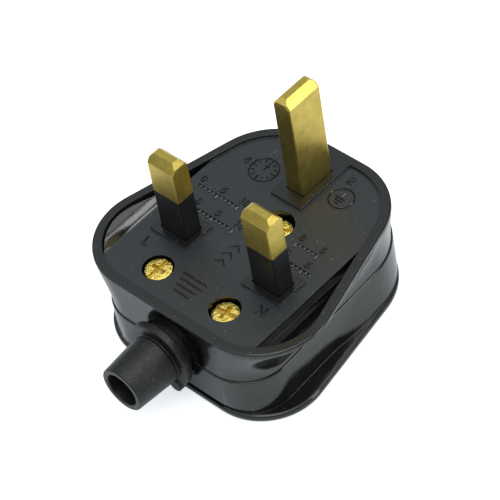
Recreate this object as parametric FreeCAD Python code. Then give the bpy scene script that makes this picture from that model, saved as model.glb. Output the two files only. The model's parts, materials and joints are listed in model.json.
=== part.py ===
import FreeCAD, Part
import math
import os

# Rewireable British three pin plug, in millimetres.
# The plug lies on its flat back: +Z runs up along the pins, +X from the live pin to the
# neutral pin, +Y from the cord entry to the earth pin. The origin is on the back face,
# below the point midway between the live and neutral pins.

# Standard pins
pin_pitch = 22.23
earth_rise = 22.23
line_width = 6.35
line_thick = 3.975
line_reach = 18.2
earth_width = 3.975
earth_depth = 7.92
earth_reach = 23.1
tip_height = 1.6
tip_face_inset = 1.3
tip_end_inset = 0.95
tip_end_height = 0.85
pin_slot_gap = 0.08
pin_corner_round = 0.35

# Insulating sleeves on the live and neutral pins
sleeve_reach = 9.5
sleeve_root = 1.2
sleeve_wall = 0.45

# Housing outlines, all rounded trapezoids about the pins
cover_height = 10.3
base_height = 9.3
front_edge = 16.7
back_edge = 31.0
waist_room = 0.735
rim_half = 24.35
foot_half = 22.0
waist_earth_half = 18.03
rim_earth_half = 18.4
foot_earth_half = 18.7
waist_front_round = 8.5
rim_front_round = 12.8
foot_front_round = 11.5
back_round = 13.6
foot_back_draw = 0.8
flare_power = 2.3
flare_steps = (0.0, 0.3, 0.55, 0.75, 0.9, 1.0)

# Pin face of the base
rim_width = 1.85
rim_band = 0.9
rim_round = 0.4
field_drop = 0.5
face_wall = 2.1
side_wall = 2.1
parting_chamfer = 0.2
chord_half = 18.3
pocket_depth = 2.8
pocket_shallow = 0.8
line_pad_width = 9.0
line_pad_depth = 7.0
earth_pad_width = 7.3
earth_pad_lead = 2.6

# Rear cover
cover_proud = 0.25
cover_floor = 2.2
foot_edge = 1.2
foot_rise = 0.6
foot_round = 0.9
cover_top_round = 0.3
lip_gap = 0.12
lip_thick = 0.8
lip_height = 1.2

# Cord guard and the entry it sits in
guard_tip = 29.1
guard_tip_radius = 4.55
guard_root_radius = 5.15
guard_bore_radius = 3.35
guard_ring_radius = 6.9
guard_ring_front = 19.7
guard_ring_back = 18.1
guard_neck_radius = 5.5
guard_flange_radius = 6.45
guard_flange_thick = 1.8
guard_groove_depth = 0.4
guard_groove_width = 0.5
guard_lip_round = 0.4
guard_gap = 0.15
entry_chamfer = 0.5
lug_radius = 1.4
lug_angle = -58.0
lug_offset = 6.2
lug_length = 0.4

# Cord grip
grip_half_pitch = 8.1
grip_back = 9.3
grip_screw_radius = 1.75
grip_head_radius = 2.6
grip_head_height = 2.0
grip_hole_radius = 2.95
grip_seat_depth = 3.05
left_head_sink = 0.25
right_head_sink = 0.95
grip_screw_length = 13.0
pillar_radius = 3.1
pillar_length = 8.8
seat_boss_wall = 1.15
seat_boss_under = 0.95
screw_gap = 0.2
bar_depth = 5.4
bar_thick = 2.6
bar_end = 3.5
bar_notch_radius = 6.0
bar_notch_depth = 0.7
nut_across_flats = 5.5
nut_thick = 2.0
nut_sink = 1.6
nut_gap = 0.1
thread_gap = 0.05
anvil_width = 9.0
anvil_depth = 1.6
anvil_drop = 2.8

# Cover screw and its insert
cover_screw_x = 2.3
cover_screw_y = 10.8
cover_screw_radius = 1.75
cover_head_radius = 2.75
cover_head_height = 1.9
cover_head_sink = 1.5
cover_hole_radius = 3.3
cover_screw_length = 10.8
cover_pillar_radius = 3.3
cover_boss_radius = 3.9
cover_boss_rise = 1.4
insert_radius = 2.6
insert_length = 6.0
seat_gap = 0.1

# Drive recesses in the brass screw heads
drive_slot_width = 0.85
drive_slot_depth = 0.8
drive_cross_reach = 1.6
drive_cross_width = 0.7

# Inner terminal blocks
line_block_width = 7.6
line_block_depth = 5.6
earth_block_width = 6.0
earth_block_depth = 9.5
block_bottom = 8.7
wire_hole_radius = 1.6
wire_hole_height = 3.7
terminal_screw_radius = 1.75
terminal_head_radius = 2.5
terminal_head_height = 2.1
terminal_screw_length = 1.9
fence_gap = 0.15
fence_wall = 1.1
fence_depth = 5.0
live_fence_depth = 2.4
post_thick = 1.2
post_gap = 0.2

# Fuse, its clips and the live terminal
fuse_length = 25.4
fuse_radius = 3.15
fuse_axis_z = 8.9
fuse_overhang = 5.2
cap_length = 5.6
cap_wall = 0.3
cap_end = 0.4
tube_gap = 0.05
tube_wall = 0.95
element_radius = 0.25
clip_length = 5.4
clip_thick = 0.5
clip_gap = 0.05
clip_drop = 2.4
clip_bay_gap = 0.35
clip_inset = 0.3
clip_roof_gap = 0.85
rivet_radius = 1.0
rivet_head_radius = 1.7
rivet_head_height = 0.45
rivet_rise = 1.0
rivet_offset = 1.2
rivet_gap = 0.05
strap_thick = 1.0
strap_outer = 2.8
strap_lead = 3.2
live_block_left = 7.0
live_block_right = 2.5
live_block_front = 9.8
live_block_back = 14.6
live_screw_radius = 1.5
live_head_radius = 2.1
live_head_height = 1.8
live_wire_radius = 1.4
strap_rib = 1.2
fuse_rib_thick = 1.2
fuse_rib_gap = 0.3
reach_past = 1.0

# Levels and places worked out from the sizes above
face_z = cover_height + base_height
field_z = face_z - field_drop
ceiling_z = field_z - face_wall
parting_z = cover_height
live_x = -pin_pitch / 2
neutral_x = pin_pitch / 2
waist_half = neutral_x + line_block_width / 2 + fence_gap + fence_wall + waist_room + side_wall
waist_outline = (waist_half, waist_earth_half, waist_front_round)
rim_outline = (rim_half, rim_earth_half, rim_front_round)
foot_outline = (foot_half, foot_earth_half, foot_front_round)
fuse_start = -fuse_overhang
clip_roof_z = fuse_axis_z + fuse_radius + clip_roof_gap
live_foot_z = clip_roof_z + clip_thick
bar_top = ceiling_z - pillar_length
bar_bottom = bar_top - bar_thick
grip_seat_z = field_z - grip_seat_depth
wall_inside = -front_edge + side_wall
cover_seat_z = face_z - cover_head_sink - cover_head_height - seat_gap - field_drop
cover_pillar_z = parting_z + cover_boss_rise + seat_gap
cover_inset = side_wall + lip_gap + lip_thick
guard_flange_front = wall_inside + guard_gap


def vec(x, y, z):
    return FreeCAD.Vector(x, y, z)


def box(cx, cy, z0, sx, sy, sz):
    """Box centred on (cx, cy) that stands on z0."""
    return Part.makeBox(sx, sy, sz, vec(cx - sx / 2, cy - sy / 2, z0))


def span(x0, x1, y0, y1, z0, z1):
    """Box between two corners."""
    return Part.makeBox(x1 - x0, y1 - y0, z1 - z0, vec(x0, y0, z0))


def post(cx, cy, z0, z1, radius):
    """Round post along Z between two levels."""
    return Part.makeCylinder(radius, z1 - z0, vec(cx, cy, z0))


def rod_y(cx, y0, y1, cz, radius):
    """Round rod along Y between two places."""
    return Part.makeCylinder(radius, y1 - y0, vec(cx, y0, cz), vec(0, 1, 0))


def merge(first, *others):
    """One solid from several that touch or overlap."""
    shape = first
    for other in others:
        shape = shape.fuse(other)
    return shape.removeSplitter()


def edges_at(shape, z):
    """Edges that lie wholly at one level."""
    found = []
    for edge in shape.Edges:
        low = edge.BoundBox.ZMin
        high = edge.BoundBox.ZMax
        if abs(low - z) < 0.001 and abs(high - z) < 0.001:
            found.append(edge)
    return found


def rounded_wire(corners, radii, z):
    """Closed wire of straight sides and tangent corner arcs."""
    count = len(corners)
    starts = []
    middles = []
    ends = []
    for i in range(count):
        here = vec(corners[i][0], corners[i][1], z)
        before = vec(corners[i - 1][0], corners[i - 1][1], z)
        after = vec(corners[(i + 1) % count][0], corners[(i + 1) % count][1], z)
        to_before = (before - here).normalize()
        to_after = (after - here).normalize()
        half = to_before.getAngle(to_after) / 2
        inward = (to_before + to_after).normalize()
        centre = here + inward * (radii[i] / math.sin(half))
        starts.append(here + to_before * (radii[i] / math.tan(half)))
        middles.append(centre - inward * radii[i])
        ends.append(here + to_after * (radii[i] / math.tan(half)))
    edges = []
    for i in range(count):
        edges.append(Part.Arc(starts[i], middles[i], ends[i]).toShape())
        edges.append(Part.LineSegment(ends[i], starts[(i + 1) % count]).toShape())
    return Part.Wire(edges)


def housing_wire(outline, z, inset=0.0, back_draw=0.0):
    """Rounded trapezoid of the housing at a level; the inset draws it in all round."""
    half, earth_half, front_round = outline
    lean = (half - earth_half) / earth_rise
    shift = inset * math.sqrt(1 + lean * lean)
    front = -front_edge + inset
    back = back_edge - inset - back_draw
    front_x = half - shift - lean * front
    back_x = half - shift - lean * back
    corners = [(front_x, front), (back_x, back), (-back_x, back), (-front_x, front)]
    radii = [front_round - inset, back_round - inset, back_round - inset, front_round - inset]
    return rounded_wire(corners, radii, z)


def prism(wire, height):
    """Solid of a flat outline pulled straight up."""
    return Part.Face(wire).extrude(vec(0, 0, height))


def waist_prism(inset, z0, z1):
    """Upright prism of the waist outline between two levels."""
    return prism(housing_wire(waist_outline, z0, inset), z1 - z0)


def flared_block():
    """Outside of the base: upright at the parting line, flaring out to the rim."""
    flare_height = base_height - rim_band
    sections = []
    for step in flare_steps:
        grow = step ** flare_power
        outline = [waist + (rim - waist) * grow for waist, rim in zip(waist_outline, rim_outline)]
        sections.append(housing_wire(outline, parting_z + flare_height * step))
    flare = Part.makeLoft(sections, True, False)
    band = prism(housing_wire(rim_outline, face_z - rim_band), rim_band)
    block = flare.fuse(band).removeSplitter()
    block = block.makeFillet(rim_round, edges_at(block, face_z))
    return block.makeChamfer(parting_chamfer, edges_at(block, parting_z))


def pin_pads():
    """Raised pads that the pins stand on, level with the rim."""
    pad_height = field_drop
    pads = []
    for x in (live_x, neutral_x):
        pads.append(box(x, 0, field_z, line_pad_width, line_pad_depth, pad_height))
    pad_front = earth_rise - earth_depth / 2 - earth_pad_lead
    half = earth_pad_width / 2
    pads.append(span(-half, half, pad_front, back_edge, field_z, face_z))
    return pads


def sunk_field():
    """Shallow field inside the rim, less the pads."""
    field = prism(housing_wire(rim_outline, field_z, rim_width), field_drop)
    depth = front_edge + back_edge
    strip = span(-chord_half, chord_half, -depth, depth, field_z, face_z)
    field = field.common(strip)
    for pad in pin_pads():
        field = field.cut(pad)
    return field


def side_pockets():
    """Deep pocket on each side, from the straight chord out to the rim, floor sloping up."""
    opening = housing_wire(rim_outline, face_z - pocket_depth, rim_width)
    outer = opening.BoundBox.XMax
    region = prism(opening, pocket_depth)
    pockets = []
    for side in (-1, 1):
        points = [
            vec(side * chord_half, -back_edge, face_z - pocket_depth),
            vec(side * outer, -back_edge, face_z - pocket_shallow),
            vec(side * outer, -back_edge, face_z),
            vec(side * chord_half, -back_edge, face_z),
        ]
        wedge = Part.Face(Part.makePolygon(points + points[:1])).extrude(vec(0, 2 * back_edge, 0))
        pockets.append(region.common(wedge))
    return pockets


def fence(cx, cy, width, depth, drop):
    """Upright walls round a terminal block, hanging from the ceiling of the base."""
    inner_x = width + 2 * fence_gap
    inner_y = depth + 2 * fence_gap
    outer_x = inner_x + 2 * fence_wall
    outer_y = inner_y + 2 * fence_wall
    z0 = ceiling_z - drop
    return box(cx, cy, z0, outer_x, outer_y, drop).cut(box(cx, cy, z0, inner_x, inner_y, drop))


def entry_cut():
    """Round entry for the neck of the guard, with a chamfered mouth and the flange seat."""
    mouth = -front_edge - cover_proud
    radius = guard_neck_radius + guard_gap
    hole = rod_y(0, mouth - reach_past, wall_inside + reach_past, parting_z, radius)
    cone = Part.makeCone(radius + entry_chamfer, radius, entry_chamfer, vec(0, mouth, parting_z),
                         vec(0, 1, 0))
    seat_end = guard_flange_front + guard_flange_thick + guard_gap
    seat = rod_y(0, wall_inside, seat_end, parting_z, guard_flange_radius + guard_gap)
    return hole.fuse(cone).fuse(seat)


def pin_slot(cx, cy, width, depth):
    """Slot through the face for one pin."""
    return box(cx, cy, ceiling_z - reach_past, width + 2 * pin_slot_gap, depth + 2 * pin_slot_gap,
               face_z - ceiling_z + 2 * reach_past)


def clip_bay(z0, z1):
    """Room beside the housing wall for the fuse and its clips."""
    side = live_x - fuse_radius - clip_gap - clip_thick - clip_bay_gap
    return span(side, live_x, fuse_start, fuse_start + fuse_length, z0, z1)


def grip_places():
    return ((-grip_half_pitch, left_head_sink), (grip_half_pitch, right_head_sink))


def base_moulding():
    """Base with the pin face, rim, pads, pockets, screw pillars and terminal fences."""
    base = flared_block()
    base = base.cut(waist_prism(side_wall, parting_z, ceiling_z))
    base = base.cut(clip_bay(parting_z, live_foot_z))
    base = base.cut(sunk_field())
    for pocket in side_pockets():
        base = base.cut(pocket)
    adds = []
    for x, _ in grip_places():
        adds.append(post(x, -grip_back, bar_top, ceiling_z, pillar_radius))
        boss_radius = grip_hole_radius + seat_boss_wall
        adds.append(post(x, -grip_back, grip_seat_z - seat_boss_under, ceiling_z, boss_radius))
    adds.append(post(cover_screw_x, cover_screw_y, cover_pillar_z, ceiling_z, cover_pillar_radius))
    boss_radius = cover_hole_radius + seat_boss_wall
    adds.append(post(cover_screw_x, cover_screw_y, cover_seat_z - seat_boss_under, ceiling_z, boss_radius))
    adds.append(fence(neutral_x, 0, line_block_width, line_block_depth, fence_depth))
    adds.append(fence(live_x, 0, line_block_width, line_block_depth, live_fence_depth))
    adds.append(fence(0, earth_rise, earth_block_width, earth_block_depth, fence_depth))
    adds.append(box(0, -grip_back, ceiling_z - anvil_drop, anvil_width, anvil_depth, anvil_drop))
    strap_top = live_foot_z + strap_thick
    for rib_y in (strap_front() + strap_rib / 2, strap_back() - strap_rib / 2):
        adds.append(box(live_x, rib_y, strap_top, 2 * strap_outer, strap_rib, ceiling_z - strap_top))
    for add in adds:
        base = base.fuse(add)
    for x, _ in grip_places():
        base = base.cut(post(x, -grip_back, grip_seat_z, face_z, grip_hole_radius))
        base = base.cut(post(x, -grip_back, parting_z - cover_height, face_z, grip_screw_radius + screw_gap))
    base = base.cut(post(cover_screw_x, cover_screw_y, cover_seat_z, face_z, cover_hole_radius))
    base = base.cut(post(cover_screw_x, cover_screw_y, 0, face_z, cover_screw_radius + screw_gap))
    base = base.cut(pin_slot(live_x, 0, line_width, line_thick))
    base = base.cut(pin_slot(neutral_x, 0, line_width, line_thick))
    base = base.cut(pin_slot(0, earth_rise, earth_width, earth_depth))
    base = base.cut(entry_cut())
    wire_front = earth_rise - earth_block_depth / 2 - fence_gap - fence_wall - reach_past
    door = span(-wire_hole_radius, wire_hole_radius, wire_front, earth_rise, ceiling_z - fence_depth,
                block_bottom + wire_hole_height + wire_hole_radius)
    base = base.cut(door)
    side_door = span(neutral_x - wire_hole_radius, neutral_x + wire_hole_radius, -line_block_depth,
                     0, ceiling_z - fence_depth, block_bottom + wire_hole_height + wire_hole_radius)
    return base.cut(side_door).removeSplitter()


def rear_cover():
    """Cover with a spreading foot, a locating lip, the insert boss and inner ribs."""
    edge_proud = -cover_proud
    sections = [
        housing_wire(foot_outline, 0, edge_proud, foot_back_draw),
        housing_wire(foot_outline, foot_edge, edge_proud, foot_back_draw),
        housing_wire(waist_outline, foot_edge + foot_rise, edge_proud),
        housing_wire(waist_outline, parting_z, edge_proud),
    ]
    cover = Part.makeLoft(sections, True, True)
    cover = cover.makeFillet(foot_round, edges_at(cover, 0))
    cover = cover.makeFillet(cover_top_round, edges_at(cover, parting_z))
    lip = waist_prism(side_wall + lip_gap, parting_z - lip_height, parting_z + lip_height)
    cover = cover.fuse(lip)
    cover = cover.cut(waist_prism(cover_inset, cover_floor, parting_z + lip_height))
    cover = cover.cut(clip_bay(cover_floor, parting_z + lip_height))
    adds = [post(cover_screw_x, cover_screw_y, cover_floor, parting_z + cover_boss_rise, cover_boss_radius)]
    post_height = block_bottom - post_gap - cover_floor
    earth_reach_y = (earth_block_depth - post_thick) / 2
    line_reach_x = (line_block_width - post_thick) / 2
    for side in (-1, 1):
        y = earth_rise + side * earth_reach_y
        adds.append(box(0, y, cover_floor, earth_block_width, post_thick, post_height))
        x = neutral_x + side * line_reach_x
        adds.append(box(x, 0, cover_floor, post_thick, line_block_depth, post_height))
    rib_top = fuse_axis_z - fuse_radius - fuse_rib_gap
    first_rib = fuse_start + cap_length + fuse_rib_thick
    last_rib = fuse_start + fuse_length - cap_length - fuse_rib_thick
    for y in (first_rib, last_rib):
        adds.append(box(live_x, y, cover_floor, 2 * fuse_radius, fuse_rib_thick, rib_top - cover_floor))
    for add in adds:
        cover = cover.fuse(add)
    insert_base = parting_z + cover_boss_rise - insert_length
    cover = cover.cut(post(cover_screw_x, cover_screw_y, insert_base, face_z, insert_radius + thread_gap))
    screw_end = cover_seat_z + seat_gap - cover_screw_length
    cover = cover.cut(post(cover_screw_x, cover_screw_y, screw_end - screw_gap, face_z,
                           cover_screw_radius + screw_gap))
    return cover.cut(entry_cut()).removeSplitter()


def pin_wire(cx, cy, width, depth, z, corner_round):
    """Rectangle of a pin's section with rounded corners."""
    corners = [
        (cx + width / 2, cy - depth / 2),
        (cx + width / 2, cy + depth / 2),
        (cx - width / 2, cy + depth / 2),
        (cx - width / 2, cy - depth / 2),
    ]
    return rounded_wire(corners, [corner_round] * 4, z)


def pin_blade(cx, cy, width, depth, z0, z1):
    """Straight rectangular pin with softly rounded long edges."""
    return prism(pin_wire(cx, cy, width, depth, z0, pin_corner_round), z1 - z0)


def roof(length, across, inset, slope_height, z0, z1):
    """Block along X whose top is bevelled on both long sides."""
    half = across / 2
    shoulder = z1 - slope_height
    right = [vec(0, half, z0), vec(0, half, shoulder), vec(0, half - inset, z1)]
    left = [vec(0, inset - half, z1), vec(0, -half, shoulder), vec(0, -half, z0)]
    profile = Part.makePolygon(right + left + right[:1])
    block = Part.Face(profile).extrude(vec(length, 0, 0))
    block.translate(vec(-length / 2, 0, 0))
    return block


def pin_tip(cx, cy, width, depth, z0, z1, turn):
    """Top of a pin: steep bevels on its wide faces, small ones on its ends, corners rounded."""
    wide = roof(width, depth, tip_face_inset, tip_height, z0, z1)
    ends = roof(depth, width, tip_end_inset, tip_end_height, z0, z1)
    ends.rotate(vec(0, 0, 0), vec(0, 0, 1), 90)
    tip = wide.common(ends).removeSplitter().Solids[0]
    corners = []
    for edge in tip.Edges:
        low, high = edge.BoundBox.ZMin, edge.BoundBox.ZMax
        on_end = width / 2 - abs(edge.CenterOfMass.x) < 0.001
        if on_end and high - low > 0.001:
            corners.append(edge)
    tip = tip.makeFillet(pin_corner_round, corners)
    tip.rotate(vec(0, 0, 0), vec(0, 0, 1), turn)
    tip.translate(vec(cx, cy, 0))
    return tip


def terminal_block(cx, cy, width, depth):
    """Inner block of a pin with its cross hole for the wire and the hole for its screw."""
    block = box(cx, cy, block_bottom, width, depth, ceiling_z - block_bottom)
    wire_z = block_bottom + wire_hole_height
    block = block.cut(rod_y(cx, cy - depth, cy + depth, wire_z, wire_hole_radius))
    return block.cut(post(cx, cy, block_bottom, wire_z, terminal_screw_radius + thread_gap))


def earth_pin():
    """Solid brass earth pin with its inner terminal block."""
    tip_z = face_z + earth_reach
    blade = pin_blade(0, earth_rise, earth_width, earth_depth, ceiling_z, face_z)
    tip = pin_tip(0, earth_rise, earth_depth, earth_width, face_z, tip_z, 90)
    return merge(blade, tip, terminal_block(0, earth_rise, earth_block_width, earth_block_depth))


def sleeve_levels():
    return face_z - sleeve_root, face_z + sleeve_reach


def line_blade(cx):
    """Live or neutral pin above its foot, necked down where the sleeve goes."""
    tip_z = face_z + line_reach
    low, high = sleeve_levels()
    neck_width = line_width - 2 * sleeve_wall
    neck_thick = line_thick - 2 * sleeve_wall
    root = pin_blade(cx, 0, line_width, line_thick, ceiling_z, low)
    neck = pin_blade(cx, 0, neck_width, neck_thick, low, high)
    tip = pin_tip(cx, 0, line_width, line_thick, high, tip_z, 0)
    return merge(root, neck, tip)


def neutral_pin():
    """Neutral pin with its inner terminal block."""
    return merge(line_blade(neutral_x), terminal_block(neutral_x, 0, line_block_width, line_block_depth))


def live_pin():
    """Live pin with the short foot that the first fuse clip is riveted to."""
    foot = box(live_x, 0, live_foot_z, line_block_width, line_block_depth, ceiling_z - live_foot_z)
    pin = merge(line_blade(live_x), foot)
    hole = post(live_x, near_clip_y() + rivet_offset, live_foot_z, live_foot_z + rivet_rise,
                rivet_radius + rivet_gap)
    return pin.cut(hole)


def pin_sleeve(cx):
    """Insulating sleeve, flush with the pin and rooted a little below the face."""
    low, high = sleeve_levels()
    outer = pin_blade(cx, 0, line_width, line_thick, low, high)
    inner_width = line_width - 2 * sleeve_wall
    inner_thick = line_thick - 2 * sleeve_wall
    return outer.cut(pin_blade(cx, 0, inner_width, inner_thick, low, high))


def slotted_screw(cx, cy, seat_z, shank_radius, head_radius, head_height, length, downward, crossed):
    """Cheese head screw; its head lies on the far side of the seat from the shank."""
    way = -1 if downward else 1
    head_z = seat_z if downward else seat_z - head_height
    shank_z = seat_z - length if downward else seat_z
    head = post(cx, cy, head_z, head_z + head_height, head_radius)
    outer_z = seat_z - way * head_height
    head = head.makeChamfer(head_height / 8, edges_at(head, outer_z))
    screw = merge(head, post(cx, cy, shank_z, shank_z + length, shank_radius))
    slot_z = outer_z - drive_slot_depth if downward else outer_z
    screw = screw.cut(box(cx, cy, slot_z, 3 * head_radius, drive_slot_width, drive_slot_depth))
    if crossed:
        cross = box(cx, cy, slot_z, drive_cross_width, 2 * drive_cross_reach, drive_slot_depth)
        screw = screw.cut(cross)
    return screw


def terminal_screw(cx, cy):
    """Clamping screw that enters a terminal block from the cover side."""
    return slotted_screw(cx, cy, block_bottom, terminal_screw_radius, terminal_head_radius,
                         terminal_head_height, terminal_screw_length, False, False)


def near_clip_y():
    return fuse_start + clip_inset + clip_length / 2


def far_clip_y():
    return fuse_start + fuse_length - clip_inset - clip_length / 2


def strap_front():
    """Front edge of the strap, which covers both the terminal block and the clip's rivet."""
    return min(live_block_back - strap_lead, far_clip_y() - rivet_offset - rivet_head_radius)


def strap_back():
    return far_clip_y() + clip_length / 2


def fuse_clip(cy, rivet_y):
    """Sprung U clip, open towards the cover, gripping one end cap."""
    y0 = cy - clip_length / 2
    inner = fuse_radius + clip_gap
    outer = inner + clip_thick
    low_z = fuse_axis_z - clip_drop
    curl = rod_y(live_x, y0, y0 + clip_length, fuse_axis_z, outer)
    walls = span(live_x - outer, live_x + outer, y0, y0 + clip_length, fuse_axis_z, live_foot_z)
    hollow = rod_y(live_x, y0, y0 + clip_length, fuse_axis_z, inner)
    channel = span(live_x - inner, live_x + inner, y0, y0 + clip_length, fuse_axis_z, clip_roof_z)
    mouth = span(live_x - outer, live_x + outer, y0, y0 + clip_length, fuse_axis_z - outer, low_z)
    clip = merge(curl, walls).cut(hollow).cut(channel).cut(mouth)
    return clip.cut(post(live_x, rivet_y, clip_roof_z, live_foot_z, rivet_radius + rivet_gap))


def clip_rivet(cy):
    """Round head rivet through the roof of a fuse clip."""
    head = post(live_x, cy, clip_roof_z - rivet_head_height, clip_roof_z, rivet_head_radius)
    return merge(head, post(live_x, cy, clip_roof_z, live_foot_z + rivet_rise, rivet_radius))


def live_terminal():
    """Brass strap over the second fuse clip, ending in the live terminal block."""
    strap = span(live_x - strap_outer, -live_block_left, strap_front(), strap_back(), live_foot_z,
                 live_foot_z + strap_thick)
    block = span(-live_block_left, -live_block_right, live_block_front, live_block_back, block_bottom,
                 live_foot_z + strap_thick)
    terminal = merge(strap, block)
    cx, cy = live_screw_place()
    wire_z = block_bottom + wire_hole_height - wire_hole_radius + live_wire_radius
    terminal = terminal.cut(rod_y(cx, live_block_front, live_block_back, wire_z, live_wire_radius))
    terminal = terminal.cut(post(cx, cy, block_bottom, wire_z, live_screw_radius + thread_gap))
    rivet_hole = post(live_x, far_clip_y() - rivet_offset, live_foot_z, live_foot_z + strap_thick,
                      rivet_radius + rivet_gap)
    return terminal.cut(rivet_hole)


def live_screw_place():
    return -(live_block_left + live_block_right) / 2, (live_block_front + live_block_back) / 2


def live_terminal_screw():
    cx, cy = live_screw_place()
    return slotted_screw(cx, cy, block_bottom, live_screw_radius, live_head_radius, live_head_height,
                         terminal_screw_length, False, False)


def fuse_tube():
    """Ceramic tube of the cartridge fuse."""
    radius = fuse_radius - cap_wall - tube_gap
    y0 = fuse_start + cap_end
    y1 = fuse_start + fuse_length - cap_end
    tube = rod_y(live_x, y0, y1, fuse_axis_z, radius)
    return tube.cut(rod_y(live_x, y0, y1, fuse_axis_z, radius - tube_wall))


def fuse_cap(far_end):
    """Pressed end cap of the fuse."""
    y0 = fuse_start + fuse_length - cap_length if far_end else fuse_start
    inner_y = y0 - cap_end if far_end else y0 + cap_end
    cap = rod_y(live_x, y0, y0 + cap_length, fuse_axis_z, fuse_radius)
    return cap.cut(rod_y(live_x, inner_y, inner_y + cap_length, fuse_axis_z, fuse_radius - cap_wall))


def fuse_element():
    """Fuse wire along the middle of the tube, end to end."""
    y1 = fuse_start + fuse_length - cap_end
    return rod_y(live_x, fuse_start + cap_end, y1, fuse_axis_z, element_radius)


def cord_guard():
    """Turned guard: tapered sleeve, groove, ring, neck in the entry and trapped flange."""
    groove_y = -guard_ring_front - guard_groove_width
    flange_end = guard_flange_front + guard_flange_thick
    profile = [
        (-guard_tip, guard_bore_radius),
        (-guard_tip, guard_tip_radius),
        (groove_y, guard_root_radius),
        (groove_y, guard_root_radius - guard_groove_depth),
        (-guard_ring_front, guard_root_radius - guard_groove_depth),
        (-guard_ring_front, guard_ring_radius),
        (-guard_ring_back, guard_ring_radius),
        (-guard_ring_back, guard_neck_radius),
        (guard_flange_front, guard_neck_radius),
        (guard_flange_front, guard_flange_radius),
        (flange_end, guard_flange_radius),
        (flange_end, guard_bore_radius),
    ]
    points = [vec(0, y, parting_z + r) for y, r in profile]
    outline = Part.Face(Part.makePolygon(points + points[:1]))
    guard = outline.revolve(vec(0, 0, parting_z), vec(0, 1, 0), 360)
    soft = []
    for edge in guard.Edges:
        y_low = edge.BoundBox.YMin
        y_high = edge.BoundBox.YMax
        at_tip = abs(y_low + guard_tip) < 0.001 and abs(y_high + guard_tip) < 0.001
        across = edge.BoundBox.ZMax - edge.BoundBox.ZMin
        on_ring = across > 2 * guard_ring_radius - 0.001 and y_high - y_low < 0.001
        if at_tip or on_ring:
            soft.append(edge)
    guard = guard.makeFillet(guard_lip_round, soft)
    lug_x = lug_offset * math.cos(math.radians(lug_angle))
    lug_z = parting_z + lug_offset * math.sin(math.radians(lug_angle))
    lug_start = -guard_ring_front - lug_length
    lug = rod_y(lug_x, lug_start, -guard_ring_back, lug_z, lug_radius)
    bore = rod_y(0, -guard_tip, flange_end, parting_z, guard_bore_radius)
    return guard.fuse(lug).cut(bore).removeSplitter()


def cord_clamp_bar():
    """Bar that clamps the cord against the anvil, with a shallow saddle and nut pockets."""
    length = 2 * (grip_half_pitch + bar_end)
    bar = box(0, -grip_back, bar_bottom, length, bar_depth, bar_thick)
    saddle_z = bar_top + bar_notch_radius - bar_notch_depth
    bar = bar.cut(rod_y(0, -grip_back - bar_depth, -grip_back + bar_depth, saddle_z, bar_notch_radius))
    for x, _ in grip_places():
        bar = bar.cut(post(x, -grip_back, bar_bottom, bar_top, grip_screw_radius + screw_gap))
        bar = bar.cut(hex_prism(x, -grip_back, bar_bottom, nut_across_flats + 2 * nut_gap, nut_sink))
    return bar


def hex_prism(cx, cy, z0, across_flats, height):
    """Upright hexagon."""
    reach = across_flats / math.sqrt(3)
    points = []
    for i in range(6):
        turn = math.radians(60 * i)
        points.append(vec(cx + reach * math.cos(turn), cy + reach * math.sin(turn), z0))
    return Part.Face(Part.makePolygon(points + points[:1])).extrude(vec(0, 0, height))


def grip_nut(cx):
    """Hexagon nut sunk in the under side of the clamp bar."""
    nut_z = bar_bottom + nut_sink - nut_thick
    nut = hex_prism(cx, -grip_back, nut_z, nut_across_flats, nut_thick)
    return nut.cut(post(cx, -grip_back, nut_z, nut_z + nut_thick, grip_screw_radius + thread_gap))


def grip_screw(cx, sink):
    """Cord grip screw, put in from the pin face."""
    seat_z = field_z - sink - grip_head_height
    return slotted_screw(cx, -grip_back, seat_z, grip_screw_radius, grip_head_radius, grip_head_height,
                         grip_screw_length, True, True)


def cover_screw():
    """Screw that holds the cover, put in from the pin face."""
    return slotted_screw(cover_screw_x, cover_screw_y, cover_seat_z + seat_gap, cover_screw_radius,
                         cover_head_radius, cover_head_height, cover_screw_length, True, True)


def cover_insert():
    """Threaded brass insert in the boss of the cover."""
    z1 = parting_z + cover_boss_rise
    z0 = z1 - insert_length
    insert = post(cover_screw_x, cover_screw_y, z0, z1, insert_radius)
    return insert.cut(post(cover_screw_x, cover_screw_y, z0, z1, cover_screw_radius + thread_gap))


def all_nodes():
    left, right = grip_places()
    near_rivet = near_clip_y() + rivet_offset
    far_rivet = far_clip_y() - rivet_offset
    return {
        "base_moulding": base_moulding(),
        "rear_cover": rear_cover(),
        "earth_pin": earth_pin(),
        "live_pin": live_pin(),
        "neutral_pin": neutral_pin(),
        "live_pin_sleeve": pin_sleeve(live_x),
        "neutral_pin_sleeve": pin_sleeve(neutral_x),
        "earth_terminal_screw": terminal_screw(0, earth_rise),
        "neutral_terminal_screw": terminal_screw(neutral_x, 0),
        "live_terminal": live_terminal(),
        "live_terminal_screw": live_terminal_screw(),
        "pin_fuse_clip": fuse_clip(near_clip_y(), near_rivet),
        "pin_clip_rivet": clip_rivet(near_rivet),
        "terminal_fuse_clip": fuse_clip(far_clip_y(), far_rivet),
        "terminal_clip_rivet": clip_rivet(far_rivet),
        "fuse_tube": fuse_tube(),
        "fuse_pin_cap": fuse_cap(False),
        "fuse_terminal_cap": fuse_cap(True),
        "fuse_element": fuse_element(),
        "cord_guard": cord_guard(),
        "cord_clamp_bar": cord_clamp_bar(),
        "left_grip_screw": grip_screw(*left),
        "right_grip_screw": grip_screw(*right),
        "left_grip_nut": grip_nut(left[0]),
        "right_grip_nut": grip_nut(right[0]),
        "cover_screw": cover_screw(),
        "cover_screw_insert": cover_insert(),
    }


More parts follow.
